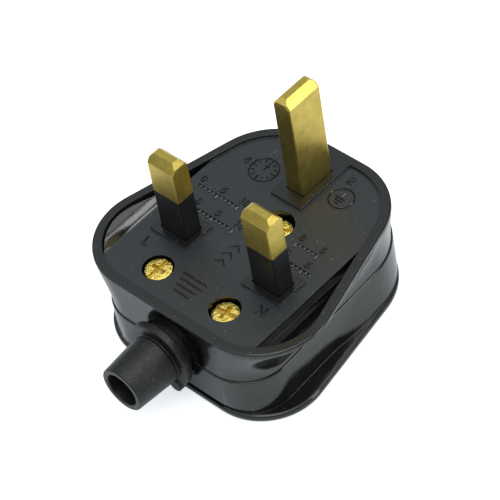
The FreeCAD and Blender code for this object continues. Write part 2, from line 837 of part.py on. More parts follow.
os.makedirs("parts", exist_ok=True)
for name, shape in all_nodes().items():
    shape.exportStep("parts/" + name + ".step")
    box_size = shape.BoundBox
    print(name, len(shape.Solids), shape.isValid(), round(shape.Volume, 1),
          round(box_size.XLength, 2), round(box_size.YLength, 2), round(box_size.ZLength, 2))
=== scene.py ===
# %% [markdown]
# # A three pin mains plug, dressed around its solid model
# The solid model gives every piece its true size and place. This lesson adds what makes the
# plug look real: moulded and worn finishes, turned screws with threads, a soft cord guard
# and the small raised marks on the pin face. The first step loads the solid model as a frame
# that nothing here moves.

# %% Load the frame
import json
import math

import bmesh
import bpy
from mathutils import Matrix, Vector


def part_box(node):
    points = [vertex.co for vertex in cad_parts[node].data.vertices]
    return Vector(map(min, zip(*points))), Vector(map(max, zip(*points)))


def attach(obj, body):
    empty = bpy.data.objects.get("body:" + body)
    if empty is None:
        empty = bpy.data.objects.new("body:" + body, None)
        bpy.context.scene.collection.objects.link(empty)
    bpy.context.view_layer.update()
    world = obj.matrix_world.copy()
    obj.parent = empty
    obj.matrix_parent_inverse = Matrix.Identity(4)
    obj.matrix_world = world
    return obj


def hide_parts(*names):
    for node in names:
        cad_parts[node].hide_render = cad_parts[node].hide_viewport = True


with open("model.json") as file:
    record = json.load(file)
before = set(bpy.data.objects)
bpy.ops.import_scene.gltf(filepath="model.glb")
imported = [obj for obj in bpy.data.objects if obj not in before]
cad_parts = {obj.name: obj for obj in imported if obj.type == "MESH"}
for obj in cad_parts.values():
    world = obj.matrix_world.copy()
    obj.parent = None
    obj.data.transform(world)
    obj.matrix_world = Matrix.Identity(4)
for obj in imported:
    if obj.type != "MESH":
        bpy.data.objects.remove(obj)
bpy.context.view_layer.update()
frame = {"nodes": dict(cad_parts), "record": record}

print("nodes loaded:", len(frame["nodes"]))

# %% [markdown]
# Sizes are written in millimetres, because that is how a plug is drawn, and turned into
# metres with one factor. Levels are read from the frame's own boxes, so they follow it: the
# parting line of the two halves runs through the guard's axis, one ring radius below its top.

# %% Levels of the plug
MM = 0.001
FIELD_DROP = 0.5 * MM
GUARD_RING_RADIUS = 6.9 * MM
BODY = "root"
face_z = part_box("base_moulding")[1].z
field_z = face_z - FIELD_DROP
parting_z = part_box("cord_guard")[1].z - GUARD_RING_RADIUS
print("pin face and parting line at", round(face_z / MM, 2), round(parting_z / MM, 2), "mm")

# %% [markdown]
# The camera stands where the photograph was taken from: about half a metre away, high on
# the side of the neutral pin, with a long lens, and rolled a little to the left. A long lens
# keeps the pins nearly parallel, as they are in the picture.

# %% Camera
CAMERA_PLACE = Vector((225.463, -180.529, 335.601)) * MM
CAMERA_TURN = math.radians(50.486)
CAMERA_RISE = math.radians(47.592)
CAMERA_ROLL = math.radians(-10.885)
SENSOR_WIDTH = 36.0
PHOTO_WIDTH = 500
FOCAL_PIXELS = 2426.7

backward = Vector((math.sin(CAMERA_TURN) * math.cos(CAMERA_RISE),
                   -math.cos(CAMERA_TURN) * math.cos(CAMERA_RISE), math.sin(CAMERA_RISE)))
level_right = Vector((math.cos(CAMERA_TURN), math.sin(CAMERA_TURN), 0))
level_up = backward.cross(level_right)
right = level_right * math.cos(CAMERA_ROLL) + level_up * math.sin(CAMERA_ROLL)
up = backward.cross(right)
lens = bpy.data.cameras.new("photo_lens")
lens.sensor_width = SENSOR_WIDTH
lens.lens = FOCAL_PIXELS * SENSOR_WIDTH / PHOTO_WIDTH
lens.clip_start = 10 * MM
camera = bpy.data.objects.new("photo_camera", lens)
aim = Matrix((right, up, backward)).transposed().to_4x4()
camera.matrix_world = Matrix.Translation(CAMERA_PLACE) @ aim
scene = bpy.context.scene
scene.collection.objects.link(camera)
scene.camera = camera
print("lens", round(lens.lens, 1), "mm")

# %% [markdown]
# Small helpers: one links an object, one adds a node and fills its inputs with values or
# links, and one turns an object with its modifiers into a plain mesh at the origin. The
# others are short names for the nodes that both shaders and Geometry Nodes use most.

# %% Helpers


def link(obj):
    scene.collection.objects.link(obj)
    return obj


def put(tree, kind, values=None, **settings):
    """Add one node, set its options, then fill its inputs with values or links."""
    node = tree.nodes.new(kind)
    for key, value in settings.items():
        setattr(node, key, value)
    for key, value in (values or {}).items():
        socket = node.inputs[key]
        if isinstance(value, bpy.types.NodeSocket):
            tree.links.new(value, socket)
        else:
            socket.default_value = value
    return node


def plain_mesh(obj, name):
    """One plain mesh at the origin from an object and its modifiers."""
    bpy.context.view_layer.update()
    graph = bpy.context.evaluated_depsgraph_get()
    mesh = bpy.data.meshes.new_from_object(obj.evaluated_get(graph), depsgraph=graph)
    mesh.name = name
    mesh.transform(obj.matrix_world)
    bpy.data.objects.remove(obj)
    plain = link(bpy.data.objects.new(name, mesh))
    print(name, "faces:", len(mesh.polygons))
    return plain


def math_node(tree, operation, first, second=0.0, clamp=False):
    """A Math node's result."""
    return put(tree, "ShaderNodeMath", {0: first, 1: second}, operation=operation,
               use_clamp=clamp).outputs[0]


def times(tree, first, second, clamp=False):
    return math_node(tree, "MULTIPLY", first, second, clamp)


def between(tree, value, low, high, start=0.0, end=1.0, kind="LINEAR"):
    """Value that runs from low to high while another one runs from start to end."""
    return put(tree, "ShaderNodeMapRange",
               {"Value": value, "From Min": start, "From Max": end, "To Min": low, "To Max": high},
               interpolation_type=kind).outputs[0]


def xyz(tree, x=0.0, y=0.0, z=0.0):
    """Vector from three values or links."""
    return put(tree, "ShaderNodeCombineXYZ", {0: x, 1: y, 2: z}).outputs[0]


def axes_of(tree, vector):
    """The three parts of a vector, by name."""
    return put(tree, "ShaderNodeSeparateXYZ", {0: vector}).outputs


# %% [markdown]
# ## Shared finish groups
# Finishes share four effects, each built once as a group with named inputs.
# *Soft edge* rounds the shading of sharp edges by a small radius and gives a mask of where
# those edges are: moulded and machined edges are never perfectly sharp, and the thin light
# line along them is what makes a small part look solid.

# %% Soft edge group
FLOAT, VECTOR = "NodeSocketFloat", "NodeSocketVector"


def new_group(name, inputs, outputs):
    """Shader group with named sockets; inputs and outputs are (name, kind, value)."""
    group = bpy.data.node_groups.new(name, "ShaderNodeTree")
    for label, kind, value in inputs:
        socket = group.interface.new_socket(label, in_out="INPUT", socket_type=kind)
        socket.default_value = value
    for label, kind in outputs:
        group.interface.new_socket(label, in_out="OUTPUT", socket_type=kind)
    given = group.nodes.new("NodeGroupInput").outputs
    return group, given, group.nodes.new("NodeGroupOutput").inputs


def soft_edge_group():
    group, given, made = new_group(
        "soft_edge", [("Radius", FLOAT, 0.1 * MM), ("Width", FLOAT, 6.0)],
        [("Normal", VECTOR), ("Edge", FLOAT)])
    bevel = put(group, "ShaderNodeBevel", {"Radius": given["Radius"]}, samples=6)
    flat = put(group, "ShaderNodeNewGeometry")
    near = put(group, "ShaderNodeVectorMath", {0: bevel.outputs[0], 1: flat.outputs["Normal"]},
               operation="DOT_PRODUCT")
    away = math_node(group, "SUBTRACT", 1.0, near.outputs["Value"])
    group.links.new(bevel.outputs[0], made["Normal"])
    group.links.new(times(group, away, given["Width"], clamp=True), made["Edge"])
    return group


soft_edge = soft_edge_group()
print("group:", soft_edge.name)

# %% [markdown]
# *Grain* is fine uneven height from noise, for spark-eroded mould faces, fibre and ceramic.
# *Brushed* is the same noise stretched along one axis, for rolled and linished brass.
# *Specks* gives sparse small spots: dust on black plastic, tarnish freckles on brass. Each
# cell of a Voronoi pattern draws a lot, and only a share of the cells holds a spot.

# %% Grain, brushed and specks groups
TONES_PER_METRE = 0.45 / MM
CLUSTERS_PER_METRE = 0.25 / MM
SPOT_EDGE = 12.0


def object_point(group, scale):
    """Position in metres times a scale, as a texture coordinate."""
    place = put(group, "ShaderNodeTexCoord")
    return put(group, "ShaderNodeVectorMath", {0: place.outputs["Object"], "Scale": scale},
               operation="SCALE").outputs[0]


def noise(group, point, detail, rough):
    """Noise with blotches of about one unit."""
    return put(group, "ShaderNodeTexNoise", {"Vector": point, "Scale": 1.0, "Detail": detail,
                                             "Roughness": rough}).outputs[0]


def grain_group():
    group, given, made = new_group(
        "grain", [("Size", FLOAT, 0.3), ("Rough", FLOAT, 0.6)], [("Height", FLOAT)])
    point = object_point(group, math_node(group, "DIVIDE", 1 / MM, given["Size"]))
    group.links.new(noise(group, point, 4.0, given["Rough"]), made["Height"])
    return group


def brushed_group():
    group, given, made = new_group(
        "brushed", [("Size", FLOAT, 0.15), ("Stretch", VECTOR, (1, 1, 0.05))],
        [("Height", FLOAT), ("Tone", FLOAT)])
    point = object_point(group, math_node(group, "DIVIDE", 1 / MM, given["Size"]))
    pulled = put(group, "ShaderNodeVectorMath", {0: point, 1: given["Stretch"]},
                 operation="MULTIPLY").outputs[0]
    broad = object_point(group, TONES_PER_METRE)
    group.links.new(noise(group, pulled, 3.0, 0.6), made["Height"])
    group.links.new(noise(group, broad, 2.0, 0.5), made["Tone"])
    return group


def specks_group():
    group, given, made = new_group(
        "specks", [("Size", FLOAT, 0.5), ("Amount", FLOAT, 0.1), ("Share", FLOAT, 0.1)],
        [("Mask", FLOAT)])
    scale = math_node(group, "DIVIDE", 1 / MM, given["Size"])
    cells = put(group, "ShaderNodeTexVoronoi", {"Vector": object_point(group, scale), "Scale": 1.0},
                feature="F1")
    clusters = noise(group, object_point(group, CLUSTERS_PER_METRE), 2.0, 0.5)
    reach = times(group, clusters, given["Amount"])
    inside = math_node(group, "SUBTRACT", reach, cells.outputs["Distance"])
    spot = times(group, inside, SPOT_EDGE, clamp=True)
    lot = put(group, "ShaderNodeSeparateColor", {0: cells.outputs["Color"]}).outputs[0]
    drawn = math_node(group, "LESS_THAN", lot, given["Share"])
    group.links.new(times(group, spot, drawn), made["Mask"])
    return group


grain = grain_group()
brushed = brushed_group()
specks = specks_group()
print("groups:", grain.name, brushed.name, specks.name)

# %% [markdown]
# ## Black plastics
# A plug's housing is pressed from a hard thermoset. Its walls are polished and mirror the
# table, and its sunk face is finely textured, which scatters light into an even dark grey.
# One material does both: a mask finds the sunk face by its level, and only there the grain
# and the higher roughness apply. The raised marks stand above it and stay glossy. The rim
# and the pads touch the socket, so a second mask finds their level and makes them satin.
# Very slow noise bends the reflections a little, as shrinkage does on real mouldings.

# %% Material helpers
COLOUR_A, COLOUR_B, COLOUR_OUT = 6, 7, 2  # a Mix node has sockets for each kind of value


def use(tree, group, **values):
    """Place a shader group with its own values; underscores stand for spaces."""
    node = put(tree, "ShaderNodeGroup", node_tree=group)
    for key, value in values.items():
        node.inputs[key.replace("_", " ")].default_value = value
    return node.outputs


def new_material(name):
    material = bpy.data.materials.new(name)
    material.use_nodes = True
    tree = material.node_tree
    return material, tree, tree.nodes["Principled BSDF"]


def mix_colour(tree, factor, first, second):
    return put(tree, "ShaderNodeMix", {0: factor, COLOUR_A: first, COLOUR_B: second},
               data_type="RGBA").outputs[COLOUR_OUT]


def bump(tree, height, depth, normal):
    """Normal of a bumped surface; depth is the height's full range in metres."""
    return put(tree, "ShaderNodeBump", {"Height": height, "Distance": depth, "Strength": 1.0,
                                        "Normal": normal}).outputs[0]


def laid_over(tree, mask, share, below, above):
    """Colour laid over another by a share of a mask."""
    return mix_colour(tree, times(tree, mask, share), below, above)


def paint(tree, surface, colour, rough, normal):
    """Feed a shader what changes over the surface."""
    for name, value in (("Base Color", colour), ("Roughness", rough), ("Normal", normal)):
        tree.links.new(value, surface.inputs[name])


def level_here(tree):
    """Height of the shaded point over the floor."""
    return axes_of(tree, put(tree, "ShaderNodeTexCoord").outputs["Object"])["Z"]


# %% Housing
SAME_LEVEL = 0.03 * MM
FACE_ROUGHER = 0.21
RIM_ROUGHER = 0.14
DUST_TONE = (0.35, 0.34, 0.31, 1)


def at_level(tree, height, level):
    """Mask of all that lies at one level."""
    gap = math_node(tree, "ABSOLUTE", math_node(tree, "SUBTRACT", height, level))
    return math_node(tree, "LESS_THAN", gap, SAME_LEVEL)


def housing_material():
    material, tree, surface = new_material("housing_gloss_black")
    edge = use(tree, soft_edge, Radius=0.14 * MM, Width=5.0)
    height = level_here(tree)
    field, rim = at_level(tree, height, field_z), at_level(tree, height, face_z)
    fine = use(tree, grain, Size=0.22, Rough=0.65)
    slow = use(tree, grain, Size=9.0, Rough=0.4)
    smear = use(tree, grain, Size=2.5, Rough=0.6)
    dust = use(tree, specks, Size=0.6, Amount=0.34, Share=0.14)
    wavy = bump(tree, slow["Height"], 0.13 * MM, edge["Normal"])
    textured = times(tree, fine["Height"], field)
    normal = bump(tree, textured, 0.055 * MM, wavy)
    rough = between(tree, smear["Height"], 0.08, 0.20)
    for mask, rougher in ((field, FACE_ROUGHER), (rim, RIM_ROUGHER)):
        rough = math_node(tree, "ADD", rough, times(tree, mask, rougher))
    base = mix_colour(tree, field, (0.0035, 0.0036, 0.004, 1), (0.0125, 0.0148, 0.0166, 1))
    edges_lightened = laid_over(tree, edge["Edge"], 0.15, base, (0.07, 0.07, 0.075, 1))
    paint(tree, surface, laid_over(tree, dust["Mask"], 0.5, edges_lightened, DUST_TONE), rough, normal)
    surface.inputs["IOR"].default_value = 1.55
    return material


housing_black = housing_material()
print("material:", housing_black.name)

# %% [markdown]
# The guard is a softer plastic, so it has a satin skin with a fine grain whose peaks are painted
# pale, as glints.
# The sleeves on the pins are smooth and thin. The edges of both are lightened, partly as rubbed
# wear and partly as a painted highlight.

# %% Guard and sleeves
SATIN_ROUGH = 0.36
SATIN_GLOSS = 0.38


def satin_black(name, tone, size, depth, edge_wear_and_highlight, painted_glint_share=0.0):
    """Satin black plastic with a fine grain, pale peaks as painted glints, and edges lightened as
    rubbed wear and painted highlight.
    """
    material, tree, surface = new_material(name)
    edge = use(tree, soft_edge, Radius=0.12 * MM, Width=5.0)
    fine = use(tree, grain, Size=size, Rough=0.6)
    smear = use(tree, grain, Size=1.8, Rough=0.6)
    dust = use(tree, specks, Size=0.6, Amount=0.32, Share=0.2)
    normal = bump(tree, fine["Height"], depth, edge["Normal"])
    uneven = between(tree, smear["Height"], SATIN_ROUGH - 0.07, SATIN_ROUGH + 0.07)
    # Painted glints: the peaks of the grain are coloured pale.
    painted_glint_peaks = between(tree, fine["Height"], 0.0, painted_glint_share, 0.5, 0.75)
    skin = mix_colour(tree, painted_glint_peaks, (tone, tone, tone * 1.05, 1), (0.16, 0.17, 0.16, 1))
    # Edges lightened, partly as rubbed wear and partly as a painted highlight line.
    edges_lightened = laid_over(tree, edge["Edge"], edge_wear_and_highlight, skin, (0.12, 0.12, 0.12, 1))
    paint(tree, surface, laid_over(tree, dust["Mask"], 0.4, edges_lightened, DUST_TONE), uneven, normal)
    surface.inputs["Specular IOR Level"].default_value = SATIN_GLOSS
    return material


guard_black = satin_black("guard_satin_black", 0.003, 0.32, 0.09 * MM, 0.3, painted_glint_share=0.17)
sleeve_black = satin_black("sleeve_satin_black", 0.004, 0.25, 0.004 * MM, 0.5)
print("materials:", guard_black.name, sleeve_black.name)

# %% [markdown]
# ## Metals
# The pins are drawn brass bar, linished along their faces: fine lines in the roughness and
# the bump, a slow change of tone, small tarnish freckles and bright rubbed edges. The screws
# are turned from brighter brass and stamped, so their faces are more uneven. Clips are
# rolled strip, and the fuse caps are dull nickel.

# %% Metal materials
# Painted shade at the foot of the pins: how far above the face it reaches, and its colour.
PAINTED_SHADE_REACH = 3.2 * MM
PAINTED_SHADE_TONE = (0.07, 0.055, 0.03, 1)


def metal(name, colour, dark, rough, stretch, depth, freckle, dent, painted_shade=0.0):
    """Worn metal: brushed lines, dents, slow tone, freckles, bright edges, and painted shade near
    the face.
    """
    material, tree, surface = new_material(name)
    edge = use(tree, soft_edge, Radius=0.06 * MM, Width=4.0)
    lines = use(tree, brushed, Size=0.16, Stretch=stretch)
    spots = use(tree, specks, Size=0.5, Amount=freckle, Share=0.2)
    dents = use(tree, grain, Size=0.62, Rough=0.55)
    dented = bump(tree, dents["Height"], dent, edge["Normal"])
    normal = bump(tree, lines["Height"], depth, dented)
    uneven = between(tree, lines["Height"], rough - 0.1, rough + 0.1)
    aged = mix_colour(tree, between(tree, lines["Tone"], -0.3, 0.9), colour, dark)
    spotted = laid_over(tree, spots["Mask"], 0.6, aged, dark)
    bright = [min(1.0, channel * 1.25) for channel in colour[:3]] + [1]
    rubbed = laid_over(tree, edge["Edge"], 0.6, spotted, bright)
    # Painted shade: the colour darkens towards the pin face, standing in for the shade and the dark
    # face that the pins mirror there.
    shade_near_face = between(tree, level_here(tree), painted_shade, 0.0, face_z, face_z + PAINTED_SHADE_REACH,
                        "SMOOTHSTEP")
    paint(tree, surface, mix_colour(tree, shade_near_face, rubbed, PAINTED_SHADE_TONE), uneven, normal)
    surface.inputs["Metallic"].default_value = 1.0
    return material


# The pins get painted shade near the face; the other metals get none.
pin_brass = metal("pin_brass", (0.62, 0.48, 0.11, 1), (0.36, 0.25, 0.045, 1), 0.33,
                  (1, 1, 0.06), 0.012 * MM, 0.3, 0.008 * MM, painted_shade=0.25)
screw_brass = metal("screw_brass", (1.0, 0.80, 0.20, 1), (0.62, 0.43, 0.08, 1), 0.27,
                    (1, 1, 1), 0.08 * MM, 0.3, 0.32 * MM)
# Darker brass for the faces of the stamped recess: painted shade in the slot and the cross.
recess_painted_shade_brass = metal("screw_brass_recess_painted_shade", (0.75, 0.56, 0.12, 1), (0.40, 0.26, 0.05, 1), 0.36,
                     (1, 1, 1), 0.06 * MM, 0.3, 0.20 * MM)
clip_brass = metal("clip_brass", (0.74, 0.55, 0.24, 1), (0.5, 0.34, 0.12, 1), 0.34,
                   (1, 0.08, 1), 0.01 * MM, 0.2, 0.01 * MM)
fuse_metal = metal("fuse_nickel", (0.62, 0.61, 0.58, 1), (0.42, 0.41, 0.38, 1), 0.3,
                   (1, 0.08, 1), 0.01 * MM, 0.2, 0.01 * MM)
print("metals:", pin_brass.name, screw_brass.name, clip_brass.name, fuse_metal.name)

# %% [markdown]
# The fuse body is unglazed ceramic with faint pores, and the clamp bar is pressed fibre.

# %% Ceramic and fibre


def dull(name, colour, dark, rough, size, depth):
    """Dull even material with a mottled tone and a fine grain."""
    material, tree, surface = new_material(name)
    edge = use(tree, soft_edge, Radius=0.1 * MM, Width=4.0)
    fine = use(tree, grain, Size=size, Rough=0.7)
    mottle = use(tree, grain, Size=2.0, Rough=0.5)
    uneven = between(tree, fine["Height"], rough - 0.1, rough + 0.1)
    paint(tree, surface, mix_colour(tree, mottle["Height"], colour, dark), uneven,
          bump(tree, fine["Height"], depth, edge["Normal"]))
    return material


fuse_ceramic = dull("fuse_ceramic", (0.80, 0.78, 0.72, 1), (0.70, 0.67, 0.60, 1), 0.5, 0.2,
                    0.01 * MM)
grip_fibre = dull("grip_fibre", (0.085, 0.04, 0.022, 1), (0.05, 0.024, 0.014, 1), 0.6, 0.3,
                  0.03 * MM)
print("materials:", fuse_ceramic.name, grip_fibre.name)

# %% [markdown]
# Every piece of the frame whose shape is right stays and only gets its finish here. The
# record names the slot of each piece, so one table from slot to material is enough.

# %% Finish the frame's own pieces
FINISHES = {
    "housing_plastic": housing_black,
    "guard_plastic": guard_black,
    "sleeve_plastic": sleeve_black,
    "grip_fibre": grip_fibre,
    "pin_brass": pin_brass,
    "screw_brass": screw_brass,
    "clip_brass": clip_brass,
    "fuse_ceramic": fuse_ceramic,
    "fuse_metal": fuse_metal,
}
slot_of = {row["node"]: row["material_slot"] for row in frame["record"]["subparts"]}
for name, node in frame["nodes"].items():
    for holder in node.material_slots:
        holder.material = FINISHES[slot_of[name]]
print("finished nodes:", len(slot_of))

# %% [markdown]
# ## Moulded halves with their soft forms
# The two black halves keep the frame's shape but for some soft forms that a mould maker adds
# by eye. Copying the frame's mesh and moving a few of its points is the surest way to keep
# every hole where it is. The copy's loose triangles are welded first, and long faces are cut
# across, so that they have points to move. *Weighted Normal* then shades large faces flat.

# %% Helpers for a moulded half
WELD = 0.001 * MM
SHARP_ANGLE = math.radians(32)


def welded(node):
    """Editable copy of a frame piece with its triangles joined and its stored normals dropped."""
    copy = frame["nodes"][node].data.copy()
    copy.attributes.remove(copy.attributes["custom_normal"])
    half = bmesh.new()
    half.from_mesh(copy)
    bpy.data.meshes.remove(copy)
    bmesh.ops.remove_doubles(half, verts=half.verts, dist=WELD)
    bmesh.ops.dissolve_degenerate(half, edges=half.edges, dist=WELD)
    return half


def cut_across(half, faces, axis, places):
    """Cut faces at places along an axis, so that they have points to move."""
    for place in places:
        live = [face for face in faces if face.is_valid]
        edges = {edge for face in live for edge in face.edges}
        verts = {vert for face in live for vert in face.verts}
        made = bmesh.ops.bisect_plane(half, geom=list(verts) + list(edges) + live, dist=WELD,
                                      plane_co=axis * place, plane_no=axis)
        faces = set(live) | {item for item in made["geom"] if isinstance(item, bmesh.types.BMFace)}
    return [face for face in faces if face.is_valid]


def moulded(half, name, node):
    """Shaded piece from an edited copy, in place of its frame piece."""
    mesh = bpy.data.meshes.new(name)
    half.normal_update()
    half.to_mesh(mesh)
    half.free()
    mesh.materials.append(housing_black)
    mesh.shade_smooth()
    mesh.set_sharp_from_angle(angle=SHARP_ANGLE)
    holder = link(bpy.data.objects.new(name + "_holder", mesh))
    holder.modifiers.new("even_shading", "WEIGHTED_NORMAL").keep_sharp = True
    piece = plain_mesh(holder, name)
    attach(piece, BODY)
    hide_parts(node)


X_AXIS, Y_AXIS, Z_AXIS = Vector((1, 0, 0)), Vector((0, 1, 0)), Vector((0, 0, 1))

# %% [markdown]
# Above the rear cover's foot runs a flat ledge for the fingers, and its outer edge is a wide
# quarter round that catches the light as one thin line. The ledge narrows towards the back.
# The slope that the frame's cover has here is first cut into level strips. Each point is
# then drawn towards the foot's edge and lifted to the height of the round at its distance
# from that edge. At the front only a narrow lip is left, with a small groove above it.

# %% Rear cover
FOOT_EDGE_Z = 1.2 * MM
CREASE_Z = 1.8 * MM
ROUND_WIDTH = 0.7 * MM
NARROWS_FROM_Y = 5 * MM
NARROWS_TO_Y = 13.5 * MM
NARROWED = 0.55
FRONT_LIP = 0.8 * MM
FRONT_WALL_Y = -14 * MM
FACES_FRONT = -0.6
GROOVE_TOP_Z = 3.0 * MM
MIDDLE = Vector((0, 7 * MM))
EDGE_SLACK = 5 * WELD
CREASE_SLACK = 20 * WELD
CUTS_ALONG_Y = [y * MM for y in (2, 5, 8, 11, 13.5, 15.5)]
STRIP_SHARES = (0.03, 0.08, 0.15, 0.24, 0.36)


def on_edge(place, edges):
    """Nearest point to a place on level edges, and the way in from there, seen from above."""
    best, way_in = None, None
    for first, second in edges:
        along = second - first
        share = (place - first).dot(along) / along.length_squared
        near = first + along * min(1.0, max(0.0, share))
        if best is None or (near - place).length < (best - place).length:
            across = Vector((along.y, -along.x)).normalized()
            best, way_in = near, across if across.dot(MIDDLE - near) > 0 else -across
    return best, way_in


def ledge_level(inward):
    """Height of the foot's top at a distance in from its edge: a quarter round, then flat."""
    rest = 1 - min(1.0, inward / ROUND_WIDTH)
    return FOOT_EDGE_Z + (CREASE_Z - FOOT_EDGE_Z) * math.sqrt(1 - rest * rest)


def on_ledge(vert, slack):
    """Whether a point lies over the foot's edge, by more than a slack, and up to the crease."""
    return FOOT_EDGE_Z + slack < vert.co.z < CREASE_Z + CREASE_SLACK


def cover_with_rounded_ledge():
    half = welded("rear_cover")
    cut_across(half, list(half.faces), Y_AXIS, CUTS_ALONG_Y)
    half.normal_update()
    front = [face for face in half.faces
             if face.normal.y < FACES_FRONT and face.calc_center_median().y < FRONT_WALL_Y]
    cut_across(half, front, Z_AXIS, [GROOVE_TOP_Z])
    slope = [face for face in half.faces if all(on_ledge(vert, -EDGE_SLACK) for vert in face.verts)]
    rise = CREASE_Z - FOOT_EDGE_Z
    cut_across(half, slope, Z_AXIS, [FOOT_EDGE_Z + rise * share for share in STRIP_SHARES])
    rim = [[vert.co.xy for vert in edge.verts] for edge in half.edges
           if all(abs(vert.co.z - FOOT_EDGE_Z) < EDGE_SLACK for vert in edge.verts)]
    ledge = [vert for vert in half.verts if on_ledge(vert, EDGE_SLACK)]
    for vert in ledge:
        share = (vert.co.y - NARROWS_FROM_Y) / (NARROWS_TO_Y - NARROWS_FROM_Y)
        keep = 1 - (1 - NARROWED) * min(1.0, max(0.0, share))
        edge_point, way_in = on_edge(vert.co.xy, rim)
        inward = (vert.co.xy - edge_point) * keep
        lip = FRONT_LIP * (vert.co.z - FOOT_EDGE_Z) / rise
        if vert.co.y < 0 and inward.length < lip:
            inward = way_in * lip
        vert.co.xy = edge_point + inward
        vert.co.z = ledge_level(inward.length)
    print("slope faces:", len(slope), "cover points moved:", len(ledge))
    moulded(half, "cover_moulding", "rear_cover")


cover_with_rounded_ledge()

# %% [markdown]
# The floors of the two side pockets aren't flat: they curve down more and more towards the
# chord, which is why only a narrow streak of each mirrors a window.

# %% Base with curved pocket floors
CHORD_X = 18.3 * MM
POCKET_OUT_X = 23.47 * MM
POCKET_OUT_Z = face_z - 0.8 * MM
POCKET_SLOPE = 0.19
POCKET_CURVE = 0.078 / MM
POCKET_HIDDEN = 3.6 * MM
POCKET_STRIP = 0.4 * MM
POCKET_STRIPS = 12
POCKET_UPRIGHT = (0.92, 0.945)


def pocket_level(x):
    """Level of the pocket's floor, from its distance in from the rim."""
    inward = POCKET_OUT_X - x
    seen = min(inward, POCKET_HIDDEN)
    return POCKET_OUT_Z - POCKET_SLOPE * inward - POCKET_CURVE * seen * seen


def is_pocket_floor(face):
    """Whether a face tilts as a pocket's floor does, and lies outside a chord."""
    least, most = POCKET_UPRIGHT
    tilts = least < face.normal.z < most and abs(face.normal.y) < 0.02
    return tilts and abs(face.calc_center_median().x) > CHORD_X


def base_with_curved_pockets():
    half = welded("base_moulding")
    half.normal_update()
    floors = [face for face in half.faces if is_pocket_floor(face)]
    print("pocket floor faces:", len(floors))
    steps = [side * (CHORD_X + POCKET_STRIP * i)
             for side in (-1, 1) for i in range(1, POCKET_STRIPS + 1)]
    floors = cut_across(half, floors, X_AXIS, steps)
    for vert in {vert for face in floors for vert in face.verts}:
        vert.co.z = pocket_level(abs(vert.co.x))
    moulded(half, "base_moulding_soft", "base_moulding")


base_with_curved_pockets()

# %% [markdown]
# ## Turned pieces with Geometry Nodes
# A turned piece is a half section spun round an axis. The tree takes the half section as a
# line of points, rounds its corners with Fillet Curve and sweeps it round a circle. The
# corner radius and the number of steps are inputs, so the same tree turns the guard, its
# lug and the round marks on the face, and its first nodes turn every screw blank.

# %% Tree that turns a half section
SPIN_RADIUS = 20 * MM
GEOMETRY, WHOLE, MATERIAL = "NodeSocketGeometry", "NodeSocketInt", "NodeSocketMaterial"


def socket_of(tree, name):
    """Identifier of a tree's input, found by its name."""
    for item in tree.interface.items_tree:
        if item.name == name and item.in_out == "INPUT":
            return item.identifier
    raise KeyError(name)


def new_tree(name, inputs):
    tree = bpy.data.node_groups.new(name, "GeometryNodeTree")
    for way in ("INPUT", "OUTPUT"):
        tree.interface.new_socket("Geometry", in_out=way, socket_type=GEOMETRY)
    for label, kind in inputs:
        tree.interface.new_socket(label, in_out="INPUT", socket_type=kind)
    return tree, tree.nodes.new("NodeGroupInput").outputs, tree.nodes.new("NodeGroupOutput").inputs


def geo(tree, kind, values=None, **settings):
    """First output of a new Geometry Node."""
    return put(tree, "GeometryNode" + kind, values, **settings).outputs[0]


def finish_tree(tree, geometry, material, out):
    """Real geometry with its material, as the last two steps of each tree."""
    real = geo(tree, "RealizeInstances", {"Geometry": geometry})
    painted = geo(tree, "SetMaterial", {"Geometry": real, "Material": material})
    tree.links.new(painted, out["Geometry"])
    return tree


def turned(tree, given, closed=True):
    """Nodes that spin the input's half section round Z; returns the mesh."""
    section = geo(tree, "MeshToCurve", {"Mesh": given["Geometry"]})
    if closed:
        looped = geo(tree, "SetSplineCyclic", {"Geometry": section, "Cyclic": True})
        section = geo(tree, "FilletCurve",
                      {"Curve": looped, "Count": given["Corner Steps"],
                       "Radius": given["Corner Radius"], "Limit Radius": True}, mode="POLY")
    ring = geo(tree, "CurvePrimitiveCircle",
               {"Resolution": given["Steps Around"], "Radius": SPIN_RADIUS})
    spun = geo(tree, "CurveToMesh", {"Curve": ring, "Profile Curve": section})
    return geo(tree, "MergeByDistance", {"Geometry": spun, "Distance": WELD})


def smooth(tree, mesh, limit):
    """Smooth shading, but sharp where faces meet at more than the limit."""
    sharp = put(tree, "FunctionNodeCompare",
                {0: geo(tree, "InputMeshEdgeAngle"), 1: math.radians(limit)},
                operation="GREATER_THAN")
    faces = geo(tree, "SetShadeSmooth", {"Geometry": mesh, "Shade Smooth": True})
    return geo(tree, "SetShadeSmooth", {"Geometry": faces, "Selection": sharp.outputs[0],
                                        "Shade Smooth": False}, domain="EDGE")


TURNED_INPUTS = [("Steps Around", WHOLE), ("Corner Steps", WHOLE),
                 ("Corner Radius", FLOAT), ("Material", MATERIAL)]


def flip_if_inside_out(mesh):
    """Turn a closed mesh's faces outwards when its volume is negative."""
    volume = 0.0
    mesh.calc_loop_triangles()
    for tri in mesh.loop_triangles:
        a, b, c = (mesh.vertices[i].co for i in tri.vertices)
        volume += a.dot(b.cross(c))
    if volume < 0:
        mesh.flip_normals()


def turned_tree():
    tree, given, out = new_tree("turned_piece", TURNED_INPUTS)
    return finish_tree(tree, smooth(tree, turned(tree, given), 50), given["Material"], out)


def half_section(profile, name):
    """Line of points for a turned piece, from (radius, height) in metres."""
    points = [(radius - SPIN_RADIUS, -height, 0) for radius, height in profile]
    mesh = bpy.data.meshes.new(name + "_section")
    mesh.from_pydata(points, [(i, i + 1) for i in range(len(points) - 1)], [])
    return mesh


